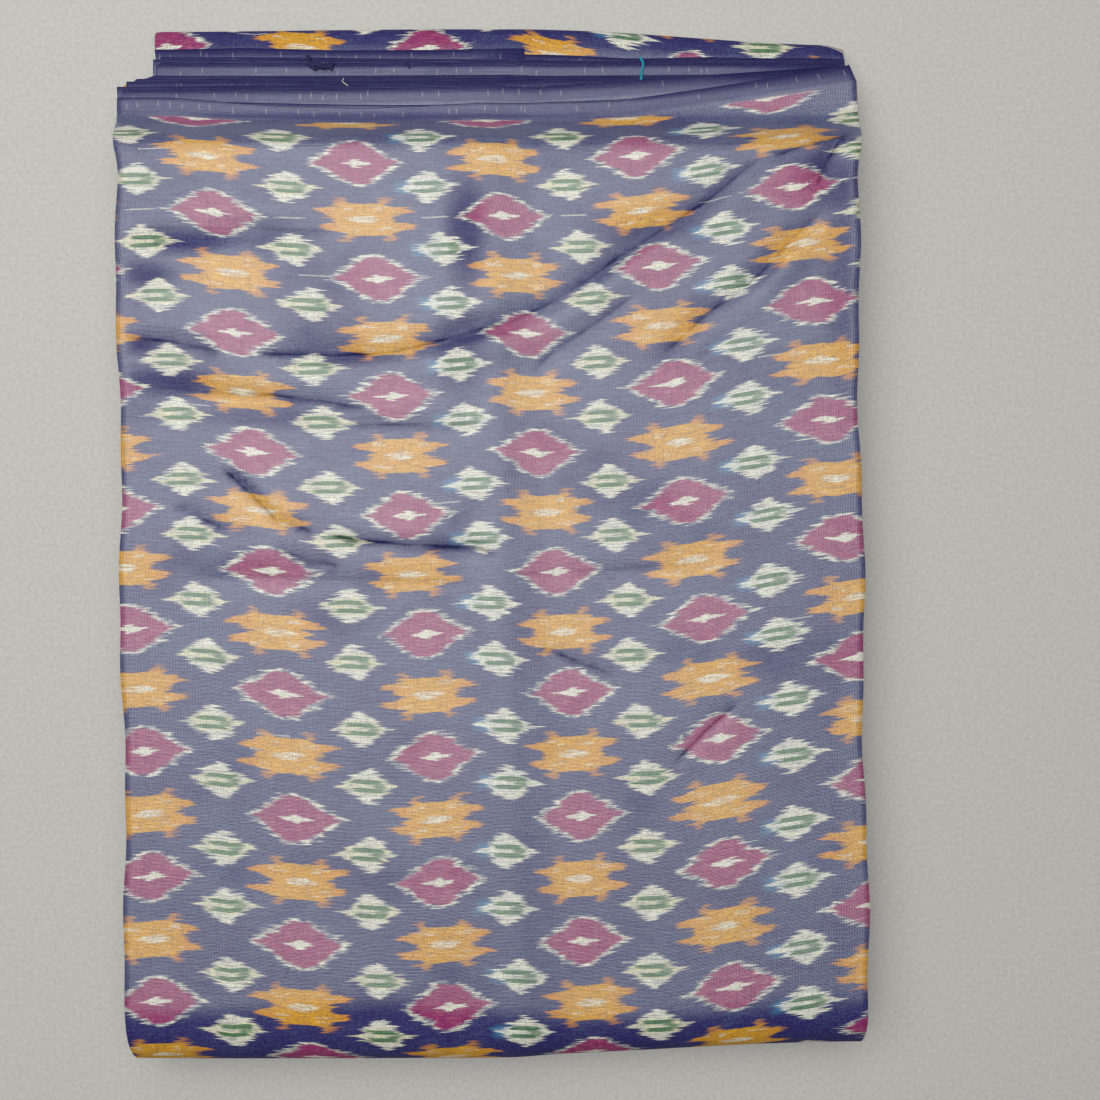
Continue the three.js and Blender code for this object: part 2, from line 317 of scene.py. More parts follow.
# Creases of the top sheet: soft troughs with a fuller side beside them.
# Side is the side of the line, looking along it, on which the cloth stands fuller. Sharp is how dark the
# painted shade line along the crease shows, from 0 to 1, and dull is how far the matt band of painted shade
# reaches on the thinner side.
CREASE_COLUMNS = ("name", "depth", "width", "ridge", "sharp", "dull", "side", "points")
CREASES = [
    ("long sweep", 1.9, 2.6, 0.8, 0.75, 3.0, 1,
     [(77, 106), (71, 102), (60, 93), (46, 84), (36, 78), (28, 72), (17, 65), (5, 59), (-4, 57), (-14, 54),
      (-27, 51), (-44, 50), (-62, 50)]),
    ("long sweep, end", 0.5, 1.6, 0.0, 1.0, 1.2, 1,
     [(-19, 52.6), (-27, 51), (-36, 50.2), (-44, 50), (-64, 50.3)]),
    ("second sweep", 1.6, 2.2, 0.6, 0.7, 2.4, 1,
     [(94, 92), (84, 83), (77, 75), (68, 67), (60, 62), (54, 56), (47, 50)]),
    ("short sweep", 0.8, 2.4, 0.3, 0.4, 2.0, 1,
     [(40, 67), (29, 59), (17, 51), (12, 46)]),
    ("upper left", 1.1, 3.0, 0.4, 0.3, 2.0, 1,
     [(-101, 85), (-65, 85), (-42, 84)]),
    ("left edge", 1.0, 2.4, 0.4, 0.6, 2.0, 1,
     [(-100, 55), (-89, 54), (-74, 51)]),
    ("middle left", 1.1, 2.2, 0.4, 0.7, 1.8, 1,
     [(-92, 41), (-77, 40), (-59, 39), (-44, 37), (-32, 35)]),
    ("middle", 0.6, 2.4, 0.2, 0.4, 1.6, 1,
     [(-41, 31), (-17, 31), (-3, 31)]),
    ("sharp pleat", 1.5, 1.5, 0.7, 1.0, 0.9, 1,
     [(-73.5, 19), (-65, 11), (-59, 5), (-53, 3), (-48, 1)]),
    ("below the pleat", 1.2, 1.7, 0.4, 1.0, 1.6, 1,
     [(-46, 1), (-38, -0.6), (-24, -2), (-3, -3), (2, -5)]),
    ("beside the pleat", 0.9, 2.0, 0.3, 0.6, 1.4, 1,
     [(-87, 9), (-79, 5), (-72, 2)]),
    ("under the pleat", 0.8, 2.0, 0.3, 0.5, 1.4, 1,
     [(-59, -3), (-51, -6), (-41, -8)]),
    ("faint, left", 0.4, 2.4, 0.2, 0.3, 1.2, 1,
     [(-83, -10), (-50, -11), (-3, -12)]),
    ("faint, right", 0.3, 2.0, 0.1, 0.3, 0.7, 1,
     [(4, -10), (32, -9), (59, -7)]),
    ("lower middle", 0.5, 1.8, 0.2, 0.5, 0.5, 1,
     [(14, -30), (23, -34), (34, -38)]),
    ("lower right", 0.5, 1.6, 0.2, 0.6, 0.5, 1,
     [(69, -45), (60, -53), (50, -63)]),
    ("corner fan, upper", 0.8, 2.0, 0.3, 0.6, 1.6, 1,
     [(101, 112), (90, 109), (78, 105)]),
    ("corner fan, lower", 1.1, 2.6, 0.4, 0.7, 2.4, -1,
     [(97, 110), (93, 104), (90, 97)]),
]


# Patches of painted shade on the top sheet, which also make it matt, with their half sizes
PAINTED_SHADE_PATCHES = [
    {"name": "beside the middle ridge, top", "x": -6.5, "y": 86, "wide": 6.0, "high": 15.0, "amount": 0.75},
    {"name": "beside the middle ridge, lower", "x": -8.0, "y": 52, "wide": 7.0, "high": 12.0, "amount": 0.45},
    {"name": "below the upper left crease", "x": -84.0, "y": 81.5, "wide": 17.0, "high": 3.4, "amount": 0.85},
    {"name": "left edge, upper", "x": -94.0, "y": 72.0, "wide": 8.0, "high": 3.6, "amount": 0.7},
    {"name": "left edge, middle", "x": -88.0, "y": 43.0, "wide": 15.0, "high": 4.0, "amount": 0.8},
    {"name": "left edge, lower", "x": -97.0, "y": 53.0, "wide": 7.0, "high": 3.0, "amount": 0.8},
    {"name": "above the pleat", "x": -62.0, "y": 33.0, "wide": 22.0, "high": 3.0, "amount": 0.4},
    {"name": "right of the long sweep", "x": 44.0, "y": 86.0, "wide": 16.0, "high": 5.0, "amount": 0.5},
    {"name": "upper right", "x": 92.0, "y": 98.0, "wide": 12.0, "high": 9.0, "amount": 0.6},
    {"name": "right edge", "x": 97.0, "y": 70.0, "wide": 5.0, "high": 30.0, "amount": 0.35},
    {"name": "below the pleat", "x": -62.0, "y": -8.0, "wide": 16.0, "high": 4.0, "amount": 0.5},
    {"name": "far end, left", "x": -90.0, "y": -133.0, "wide": 30.0, "high": 4.0, "amount": 0.6},
]

# How far from a crease's line the finish still knows of it
LINE_REACH = 6.0


def painted_shade_patches(x, y):
    """How much painted shade the patches put on the top sheet, from 0 to 1."""
    painted_shade = np.zeros_like(x)
    for place in PAINTED_SHADE_PATCHES:
        dx = (x - place["x"]) / place["wide"]
        dy = (y - place["y"] - 0.12 * np.sin(x / 6.0) * place["high"]) / place["high"]
        painted_shade = np.maximum(painted_shade, place["amount"] * smooth(1.5, 0.3, np.hypot(dx, dy)))
    return painted_shade


def crease_relief(x, y):
    """Troughs (negative) and fuller sides (positive), the place beside the nearest line, and the painted
    shade beside each line.
    """
    trough = np.zeros_like(x)
    fuller = np.zeros_like(x)
    beside = np.full_like(x, LINE_REACH)
    sharpness = np.zeros_like(x)
    painted_crease_shade = np.zeros_like(x)
    for row in CREASES:
        crease = dict(zip(CREASE_COLUMNS, row))
        points = [np.array(point, float) for point in crease["points"]]
        lengths = [float(np.linalg.norm(b - a)) for a, b in zip(points, points[1:])]
        total = sum(lengths)
        nearest = np.full_like(x, 1e9)
        signed = np.zeros_like(x)
        along = np.zeros_like(x)
        passed = 0.0
        for a, b, length in zip(points, points[1:], lengths):
            way = (b - a) / length
            run = np.clip((x - a[0]) * way[0] + (y - a[1]) * way[1], 0.0, length)
            dx, dy = x - a[0] - run * way[0], y - a[1] - run * way[1]
            away = np.hypot(dx, dy)
            closer = away < nearest
            nearest = np.where(closer, away, nearest)
            signed = np.where(closer, np.sign(way[0] * dy - way[1] * dx) * away, signed)
            along = np.where(closer, (passed + run) / total, along)
            passed += length
        fade = smooth(-0.02, 0.16, along) * smooth(-0.02, 0.16, 1.0 - along)
        fade = fade * (0.82 + 0.18 * np.sin(along * total / 7.0 + crease["width"] * 5.0))
        place = signed * crease["side"]
        reach = crease["width"] * np.where(place > 0.0, 0.75, 1.35)
        trough = np.minimum(trough, -crease["depth"] * fade * np.exp(-((nearest / reach) ** 2)))
        offset = (place - 2.2 * crease["width"]) / (1.5 * crease["width"])
        fuller = np.maximum(fuller, crease["ridge"] * fade * np.exp(-offset * offset))
        beside = np.where(nearest < np.abs(beside), place, beside)
        sharp = crease["sharp"] * np.clip(1.6 * fade, 0.0, 1.0) * smooth(2.6, 1.0, nearest)
        sharpness = np.maximum(sharpness, sharp)
        # A band of painted shade on the thinner side of each crease
        band = smooth(-crease["dull"], -0.3 * crease["dull"], place) * smooth(1.2, 0.0, place)
        most = min(0.7, 0.15 + 0.6 * crease["sharp"])
        painted_crease_shade = np.maximum(painted_crease_shade, band * np.clip(1.4 * fade, 0.0, 1.0) * most)
    return trough, fuller, (beside, np.abs(beside), sharpness), painted_crease_shade


def settled(x, y, z, topness):
    """Heights after the top sheet lifts and creases, and the stack is pressed where it is thin."""
    swell = 0.22 * np.sin(2 * np.pi * x / 150.0 + 1.0) * np.sin(2 * np.pi * y / 118.0)
    ripple = np.sin(2 * np.pi * (x + 0.4 * y) / 47.0) * np.sin(2 * np.pi * (y - 0.2 * x) / 61.0 + 2.0)
    swell = swell + 0.12 * ripple
    trough, fuller = crease_relief(x, y)[:2]
    ridge = MIDDLE_RIDGE["height"] * np.exp(-(((x - TUCK_X - TUCK_LEAN * y) / MIDDLE_RIDGE["width"]) ** 2))
    lift = np.clip(TOP_SHEET_LIFT - SWELL_ROOM + swell + trough + fuller + ridge, 0.0, None)
    pressed = 1.0 - np.interp(y, PRESS_PLACES, PRESS_SHARES)
    thinned = 1.0 - BEYOND_TUCK_PRESS * beyond_tuck(x, y)
    return (z + topness * lift) * pressed * thinned


def cloth_grid(side):
    """Places of one face of the sheet (1 outer, -1 inner, 0 its middle)."""
    along, across = warp_steps(), width_steps()
    rough = bundle(along, side, np.zeros((len(along), len(across))))
    rough_y = folded(across, rough)[0]
    section = bundle(along, side, rough_y)
    y, z, topness = folded(across, section)
    return np.stack([section["x"], y, settled(section["x"], y, z, topness)], axis=-1)


def unrolled(middle):
    """Where each place lies in the flat cloth: along the warp, and across it from the top pass's selvedge."""
    along, across = warp_steps(), width_steps()
    first_top = next(i for i, step in enumerate(along) if step["run"]["level"] == 0 and "turn" not in step)
    flat_rows = bundle(along, 0, np.minimum(middle[:, :, 1], FAN["from"]))
    step_lengths = np.hypot(np.diff(flat_rows["x"], axis=0), np.diff(flat_rows["h"], axis=0))
    warp_length = np.concatenate([np.zeros((1, len(across))), np.cumsum(step_lengths, axis=0)])
    warp_place = warp_length - warp_length[first_top] + flat_rows["x"][first_top]

    # The steps crowd to the right at the cut end's upper corner, but the cloth doesn't
    crowding = bundle(along, 0, middle[:, :, 1])["x"] - bundle(warp_steps(0.0), 0, middle[:, :, 1])["x"]
    heading = np.array([0 if "turn" in step else step["run"]["heading"] for step in along])
    warp_place = warp_place + heading[:, None] * crowding
    lengths = np.linalg.norm(np.diff(middle[:, :, 1:], axis=1), axis=2)
    from_start = np.concatenate([np.zeros((len(along), 1)), np.cumsum(lengths, axis=1)], axis=1)
    across_place = from_start[:, -1:] - from_start
    return warp_place, across_place, from_start


# Small differences of the woven rows' and columns' spacing, along each direction of the flat cloth
ROW_DRIFT = {
    "place": (21.0, 40.0, 140.0, 180.0, 255.0, 300.0, 440.0),
    "shift": (-1.2, 0.4, 2.0, 1.8, -0.5, 0.0, 16.7),
}
COLUMN_BOW = {
    "place": (30.0, 54.0, 88.0, 140.0, 180.0, 205.0, 235.0, 300.0, 440.0),
    "shift": (0.1, 2.4, 2.9, 3.9, 4.3, 3.4, 0.6, 0.0, -7.0),
}
COLUMN_DRIFT = {
    "place": (-110.0, -78.0, -37.0, 1.0, 39.0, 80.0, 110.0),
    "shift": (0.0, 0.0, -1.2, 0.2, 2.3, 1.8, 0.0),
}

# The outer face's share of the bake map's width, and the gap before the inner face's share
BAKE_SHARE_OUTER = 0.8
BAKE_GAP = 0.01


# The first steps across the width hold the lower selvedge, which shows at the pack's edge
LOWER_SELVEDGE_STEPS = 2


def bake_places(lengths, weights):
    """Places from 0 to 1 along one direction of the bake map."""
    steps = np.concatenate([[0.0], np.cumsum(lengths * weights)])
    return steps / steps[-1]


def cloth_mesh():
    outer, inner, middle = cloth_grid(1), cloth_grid(-1), cloth_grid(0)
    rows, columns = middle.shape[:2]
    low = np.minimum(outer.min((0, 1)), inner.min((0, 1)))
    high = np.maximum(outer.max((0, 1)), inner.max((0, 1)))
    cad_low, cad_high = (np.array(corner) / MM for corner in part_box("ikat_cloth"))
    shift = (cad_low + cad_high) / 2 - (low + high) / 2
    shift[2] = cad_low[2] - low[2]

    points = np.concatenate([outer.reshape(-1, 3), inner.reshape(-1, 3)]) + shift
    inner_start = rows * columns
    number = np.arange(rows * columns).reshape(rows, columns)
    a, b, c, d = number[:-1, :-1], number[1:, :-1], number[1:, 1:], number[:-1, 1:]
    outer_faces = np.stack([a, b, c, d], -1).reshape(-1, 4)
    inner_faces = np.stack([a, d, c, b], -1).reshape(-1, 4) + inner_start
    rim = np.concatenate([number[0, :-1], number[:-1, -1], number[-1, :0:-1], number[:0:-1, 0]])
    rim_next = np.roll(rim, -1)
    rim_faces = np.stack([rim_next, rim, rim + inner_start, rim_next + inner_start], -1)
    faces = np.concatenate([outer_faces, inner_faces, rim_faces])

    corners = points[faces]
    crossed = np.cross(corners[:, 1] - corners[:, 0], corners[:, 2] - corners[:, 0])
    other = np.cross(corners[:, 2] - corners[:, 0], corners[:, 3] - corners[:, 0])
    inside_out = np.einsum("ij,ij->", corners[:, 0], crossed + other) < 0
    if inside_out:
        faces = faces[:, ::-1]

    mesh = bpy.data.meshes.new("folded_cloth")
    mesh.from_pydata((points * MM).tolist(), [], faces.tolist())
    mesh.validate()
    mesh.polygons.foreach_set("use_smooth", [True] * len(mesh.polygons))

    warp_place, across_place, from_start = unrolled(middle)
    edge = np.minimum(across_place, from_start)
    drift_rows = np.interp(across_place, ROW_DRIFT["place"], ROW_DRIFT["shift"])
    drift_columns = np.interp(warp_place, COLUMN_DRIFT["place"], COLUMN_DRIFT["shift"])
    drift_columns = drift_columns - np.interp(across_place, COLUMN_BOW["place"], COLUMN_BOW["shift"])
    flat = np.stack([warp_place + drift_columns, across_place + drift_rows, edge], -1).reshape(-1, 3)
    flat = np.concatenate([flat, flat])
    attribute = mesh.attributes.new("cloth", "FLOAT_VECTOR", "POINT")
    attribute.data.foreach_set("vector", flat.astype(np.float32).ravel())
    shown_rows = np.array([step["run"]["level"] == 0 and "turn" not in step for step in warp_steps()])
    shown_columns = np.array([step["pass"] == 3 and "turn" not in step for step in width_steps()])
    shown = shown_rows[:, None] & shown_columns[None, :]
    middle_x, middle_y = middle[:, :, 0], middle[:, :, 1]
    (beside, away, sharpness), painted_crease_shade = crease_relief(middle_x, middle_y)[2:]
    away = np.where(shown, away, LINE_REACH)
    line = np.stack([beside, away, np.where(shown, sharpness, 0.0)], -1).reshape(-1, 3)
    creases = mesh.attributes.new("crease_line", "FLOAT_VECTOR", "POINT")
    creases.data.foreach_set("vector", np.concatenate([line, line]).astype(np.float32).ravel())

    # A bake map that gives the top pass most of its area
    along, across = warp_steps(), width_steps()
    level_weights = {0: 1.0, LEVEL_COUNT - 1: 0.3}
    pass_weights = {3: 1.0, 2: 0.3}
    warp_weights = np.array([
        1.0 if "turn" in step else level_weights.get(step["run"]["level"], 0.04) for step in along[1:]
    ])
    width_weights = np.array([
        1.0 if "turn" in step else pass_weights.get(step["pass"], 0.02) for step in across[1:]
    ])
    width_weights[:LOWER_SELVEDGE_STEPS] = 1.0
    row_lengths = np.linalg.norm(np.diff(middle[:, columns // 2], axis=0), axis=1)
    column_lengths = np.linalg.norm(np.diff(middle[rows // 2], axis=0), axis=1)
    u = bake_places(row_lengths, warp_weights)
    v = bake_places(column_lengths, width_weights)
    grid_u, grid_v = np.meshgrid(u, v, indexing="ij")
    places = np.concatenate([
        np.stack([grid_u * (BAKE_SHARE_OUTER - BAKE_GAP), grid_v], -1).reshape(-1, 2),
        np.stack([BAKE_SHARE_OUTER + grid_u * (1.0 - BAKE_SHARE_OUTER), grid_v], -1).reshape(-1, 2),
    ])
    loops = np.zeros(len(mesh.loops), np.int32)
    mesh.loops.foreach_get("vertex_index", loops)
    bake = mesh.uv_layers.new(name="OFBake")
    bake.data.foreach_set("uv", places[loops].astype(np.float32).ravel())
    mesh.update()

    # Painted sheen and gloss: highest on flat, upward-facing cloth, which the shader makes paler and glossy;
    # least on slopes, at the turns and along the piled selvedges, which it makes darker and matt as painted
    # shade
    normals = np.zeros(len(mesh.vertices) * 3, np.float32)
    mesh.vertex_normals.foreach_get("vector", normals)
    upright = np.abs(normals.reshape(-1, 3)[:, 2])
    painted_sheen_and_gloss = 0.25 + 0.75 * smooth(0.80, 0.97, upright)
    x, y = (np.tile(part.ravel(), 2) for part in (middle_x, middle_y))
    # Painted shade from the patches and from the bands beside the creases
    painted_shade = np.where(shown, np.maximum(painted_shade_patches(middle_x, middle_y), 0.92 * painted_crease_shade), 0.0)
    # Painted shade where the cloth rolls over the top fold, and from the shade patches and crease bands
    painted_sheen_and_gloss = painted_sheen_and_gloss * (1.0 - 0.9 * smooth(137.0, 139.5, y)) * (1.0 - np.tile(painted_shade.ravel(), 2))
    # Painted shade on the far end's rolled fold
    roll_start = -126.5 - 2.5 * np.sin(x / 21.0)
    painted_sheen_and_gloss = painted_sheen_and_gloss * (1.0 - 0.92 * smooth(0.0, -7.0, y - roll_start))
    before_selvedge = smooth(128.0, 122.0, y)
    # Painted sheen over the slope where the stack thins under the selvedges
    painted_rise_sheen = smooth(103.0, 107.0, y) * before_selvedge * np.tile(shown.astype(float).ravel(), 2)
    painted_sheen_and_gloss = np.maximum(painted_sheen_and_gloss, 0.85 * painted_rise_sheen)
    # Painted sheen on the rims of the left and right folded edges
    painted_rim_sheen = smooth(97.0, 100.5, np.abs(x)) * smooth(-128.0, -124.0, y) * before_selvedge
    painted_sheen_and_gloss = np.maximum(painted_sheen_and_gloss, 0.95 * painted_rim_sheen)
    pressed = mesh.attributes.new("pressed", "FLOAT", "POINT")
    pressed.data.foreach_set("value", painted_sheen_and_gloss.astype(np.float32))
    return mesh, shift


cloth_data, shift = cloth_mesh()
cloth = bpy.data.objects.new("folded_cloth", cloth_data)
bpy.context.scene.collection.objects.link(cloth)

# Camera, straight above the pack
CAMERA_PLACE = (16.5, -3.6, 324.0)
camera_data = bpy.data.cameras.new("camera")
camera_data.lens = 36.0
camera_data.sensor_width = 36.0
camera = bpy.data.objects.new("camera", camera_data)
camera.location = [(place + move) * MM for place, move in zip(CAMERA_PLACE, (shift[0], shift[1], 0.0))]
bpy.context.scene.collection.objects.link(camera)
bpy.context.scene.camera = camera


def linear(red, green, blue):
    """A colour from its 0 to 255 screen values."""
    def one(value):
        value = value / 255
        return value / 12.92 if value <= 0.04045 else ((value + 0.055) / 1.055) ** 2.4
    return (one(red), one(green), one(blue), 1.0)


class Value:
    """A number at each place of a surface, with sums written as Python expressions."""

    def __init__(self, finish, socket):
        self.finish = finish
        self.socket = socket

    def math(self, operation, *others):
        inputs = dict(enumerate([self, *others]))
        return self.finish.value("ShaderNodeMath", {"operation": operation}, inputs)

    def __add__(self, other):
        return self.math("ADD", other)

    def __radd__(self, other):
        return self.math("ADD", other)

    def __sub__(self, other):
        return self.math("SUBTRACT", other)

    def __rsub__(self, other):
        return self.finish.value("ShaderNodeMath", {"operation": "SUBTRACT"}, {0: other, 1: self})

    def __mul__(self, other):
        return self.math("MULTIPLY", other)

    def __rmul__(self, other):
        return self.math("MULTIPLY", other)

    def __truediv__(self, other):
        return self.math("DIVIDE", other)

    def __abs__(self):
        return self.math("ABSOLUTE")

    def __gt__(self, other):
        return self.math("GREATER_THAN", other)

    def __lt__(self, other):
        return self.math("LESS_THAN", other)

    def rounded(self):
        return self.math("ROUND")

    def floored(self):
        return self.math("FLOOR")

    def limited(self):
        return self.finish.value("ShaderNodeMath", {"operation": "ADD", "use_clamp": True}, {0: self, 1: 0.0})

    def most(self, other):
        return self.math("MAXIMUM", other)


# A chart holds half widths from -CHART_ROOM up, for places up to CHART_REACH from a motif's middle
CHART_ROOM = 6.0
CHART_RANGE = 24.0
CHART_REACH = 10.0


class Finish:
    """A material and the nodes that make it."""

    def __init__(self, name):
        self.material = bpy.data.materials.new(name)
        self.material.use_nodes = True
        self.tree = self.material.node_tree
        self.tree.nodes.clear()

    def node(self, kind, settings, inputs):
        node = self.tree.nodes.new(kind)
        for name, setting in settings.items():
            if name == "stops":
                ramp = node.color_ramp
                while len(ramp.elements) < len(setting):
                    ramp.elements.new(1.0)
                for element, (place, colour) in zip(ramp.elements, setting):
                    element.position = place
                    element.color = colour
            elif name == "interpolation":
                node.color_ramp.interpolation = setting
            else:
                setattr(node, name, setting)
        for name, value in inputs.items():
            socket = node.inputs[name]
            if isinstance(value, Value):
                self.tree.links.new(value.socket, socket)
            else:
                socket.default_value = value
        return node

    def value(self, kind, settings, inputs, output=0):
        return Value(self, self.node(kind, settings, inputs).outputs[output])

    def blend(self, share, first, second):
        """A colour that goes from the first to the second."""
        return self.value(
            "ShaderNodeMix", {"data_type": "RGBA", "clamp_factor": True}, {0: share, 6: first, 7: second}, 2
        )

    def place(self, x, y=0.0, z=0.0):
        return self.value("ShaderNodeCombineXYZ", {}, {"X": x, "Y": y, "Z": z})

    def chance(self, salt, *cells):
        """An even random number from -0.5 to 0.5 for each cell."""
        where = self.place(cells[0], cells[1] if len(cells) > 1 else 0.0, salt)
        return self.value("ShaderNodeTexWhiteNoise", {"noise_dimensions": "3D"}, {"Vector": where}) - 0.5

    def noise(self, x, y, z=0.0, detail=1.0):
        """A smooth random number around 0, from about -0.5 to 0.5."""
        inputs = {"Vector": self.place(x, y, z), "Scale": 1.0, "Detail": detail, "Roughness": 0.5}
        return self.value("ShaderNodeTexNoise", {"noise_dimensions": "3D"}, inputs) - 0.5

    def chart(self, from_middle, motif):
        """Half width in millimetres of a motif on the yarn that lies so far from its middle."""
        stops = []
        for place, width in zip(motif["from_middle"], motif["half_width"]):
            level = (width + CHART_ROOM) / CHART_RANGE
            stops.append((place / CHART_REACH, (level, level, level, 1.0)))
        settings = {"stops": stops, "interpolation": "LINEAR"}
        charted = self.value("ShaderNodeValToRGB", settings, {"Fac": from_middle / CHART_REACH})
        return charted * CHART_RANGE - CHART_ROOM


# The woven pattern, in millimetres of flat cloth
BORDER = 4.6
ROW_PITCH = 16.7
COLUMN_PITCH = 40.0
COLUMN_LEAN = 0.114
COLUMN_START = 120.8
GROUP_PITCH = 1.113
YARN_PITCH = 0.36
WEFT_PITCH = 0.42
TICK_PITCH = 3.4

# Half widths of the motifs in millimetres on the yarns at these places from the motif's middle.
# A half width of -6 means that the yarn has none of it.
STAR_BODY = {
    "from_middle": (0.0, 1.2, 1.7, 2.3, 3.2, 3.8, 4.6, 4.8, 6.4, 7.1),
    "half_width": (8.2, 8.8, 12.4, 13.2, 11.8, 7.4, 6.8, 7.4, 7.2, -6.0),
}
STAR_NOTCH = {
    "from_middle": (0.0, 4.5, 4.8, 7.1),
    "half_width": (-6.0, -6.0, 4.4, 5.4),
}
STAR_EYE = {
    "from_middle": (0.0, 0.5, 1.0, 1.5),
    "half_width": (4.2, 3.6, 1.6, -6.0),
}
DIAMOND_RIM = {
    "from_middle": (0.0, 0.5, 1.5, 3.0, 4.5, 6.0, 6.9, 7.4),
    "half_width": (14.0, 12.8, 10.8, 8.7, 6.3, 3.8, 1.8, -6.0),
}
DIAMOND_BODY = {
    "from_middle": (0.0, 0.6, 1.6, 3.0, 4.5, 6.0, 6.7),
    "half_width": (11.8, 10.6, 8.8, 6.7, 4.6, 2.3, -6.0),
}
DIAMOND_EYE = {
    "from_middle": (0.0, 0.3, 0.55, 1.2, 1.7),
    "half_width": (4.6, 3.6, 1.7, 0.7, -6.0),
}
LEAF_WHITE = {
    "from_middle": (0.0, 0.4, 1.0, 2.0, 2.9, 3.7, 4.8, 5.1),
    "half_width": (9.2, 7.4, 5.8, 4.7, 3.6, 2.0, 0.6, -6.0),
}
LEAF_GREEN = {
    "from_middle": (0.0, 0.4, 0.6, 1.65, 1.95),
    "half_width": (-6.0, -6.0, 4.4, 4.0, -6.0),
}

GROUND_DEEP = linear(42, 34, 96)
# GROUND_PALE is both the pale weft and the painted sheen of flat cloth
GROUND_PALE = linear(82, 98, 132)
CREASE_SHADE = linear(14, 10, 38)
WEFT = linear(30, 34, 84)
SELVEDGE = linear(46, 40, 100)
STAR_GOLD = linear(218, 158, 12)
STAR_SALMON = linear(212, 120, 50)
STAR_PALE = linear(240, 212, 120)
DIAMOND_PINK = linear(160, 44, 104)
DIAMOND_DEEP = linear(130, 30, 88)
LEAF = linear(34, 94, 52)
LEAF_LIGHT = linear(84, 138, 88)
UNDYED = linear(226, 226, 208)
YELLOWED = linear(206, 196, 110)
CYAN = linear(60, 150, 190)


